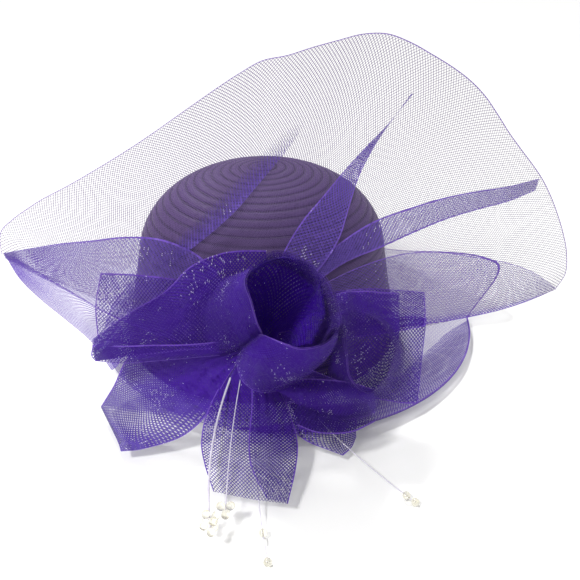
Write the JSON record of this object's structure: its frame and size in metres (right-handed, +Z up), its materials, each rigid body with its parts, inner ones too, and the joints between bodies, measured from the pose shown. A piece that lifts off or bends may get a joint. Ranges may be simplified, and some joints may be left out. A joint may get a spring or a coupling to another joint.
{
  "type": "fascinator headpiece",
  "caption": "Braided crown with a flat mesh brim, an upswept pleated mesh fan, a looped mesh flower at the front and beaded springy stems.",
  "frame": {"origin": "centre of the head opening, in the plane of the rim", "axes": "+Z up to the tip of the crown, -Y to the front where the flower is, +X to the side of the fan's tall corner"},
  "size_m": [0.3501, 0.3389, 0.2014],
  "materials": {
    "crown_braid": "sewn rows of semi-sheer braid",
    "ribbon": "ribbed ribbon",
    "wire": "drawn",
    "veil_crin": "sheer open mesh",
    "flower_crin": "glossy fine mesh",
    "buckram": "stiffened cloth",
    "thread": "wrapped thread",
    "stem": "clear filament",
    "bead": "clear pale yellow"
  },
  "bodies": {
    "headpiece": {"crown_side": "crown_braid", "crown_tip": "crown_braid", "sweatband": "ribbon", "rim_wire": "wire", "flower_base": "buckram", "knot": "thread", "brim": "veil_crin", "brim_hem": "veil_crin", "left_wing": "veil_crin", "fan_panel": "veil_crin", "left_pleat": "veil_crin", "right_pleat": "veil_crin", "lower_pleat": "veil_crin", "sharp_pleat": "veil_crin", "soft_pleat": "veil_crin", "centre_loop": "flower_crin", "left_roll": "flower_crin", "front_roll": "flower_crin", "right_loop": "flower_crin", "low_loop": "flower_crin", "left_loop": "flower_crin", "left_strip": "flower_crin", "left_tail": "flower_crin", "front_tail": "flower_crin", "right_tail": "flower_crin", "right_under_tail": "flower_crin", "under_tail": "flower_crin"},
    "left_stem": {"stem_left": "stem", "beads_left": "bead"},
    "short_stem": {"stem_short": "stem", "beads_short": "bead"},
    "front_stem": {"stem_front": "stem", "beads_front": "bead"},
    "right_stem": {"stem_right": "stem", "beads_right": "bead"}
  },
  "joints": [
    {"name": "left_stem_nod", "type": "hinge", "parent": "headpiece", "child": "left_stem", "pos_m": [-0.005, -0.11053, 0.0515], "axis": [1, 0, 0], "range_deg": [-8, 1], "stiffness_Nm_per_rad": 0.01},
    {"name": "short_stem_nod", "type": "hinge", "parent": "headpiece", "child": "short_stem", "pos_m": [-0.003, -0.11053, 0.053], "axis": [1, 0, 0], "range_deg": [-8, 1], "stiffness_Nm_per_rad": 0.01},
    {"name": "front_stem_sway", "type": "hinge", "parent": "headpiece", "child": "front_stem", "pos_m": [0.001, -0.11043, 0.0424], "axis": [0, 0, 1], "range_deg": [-4, 4], "stiffness_Nm_per_rad": 0.01},
    {"name": "right_stem_sway", "type": "hinge", "parent": "headpiece", "child": "right_stem", "pos_m": [0.005, -0.11043, 0.0445], "axis": [0, 0, 1], "range_deg": [-4, 4], "stiffness_Nm_per_rad": 0.01}
  ]
}
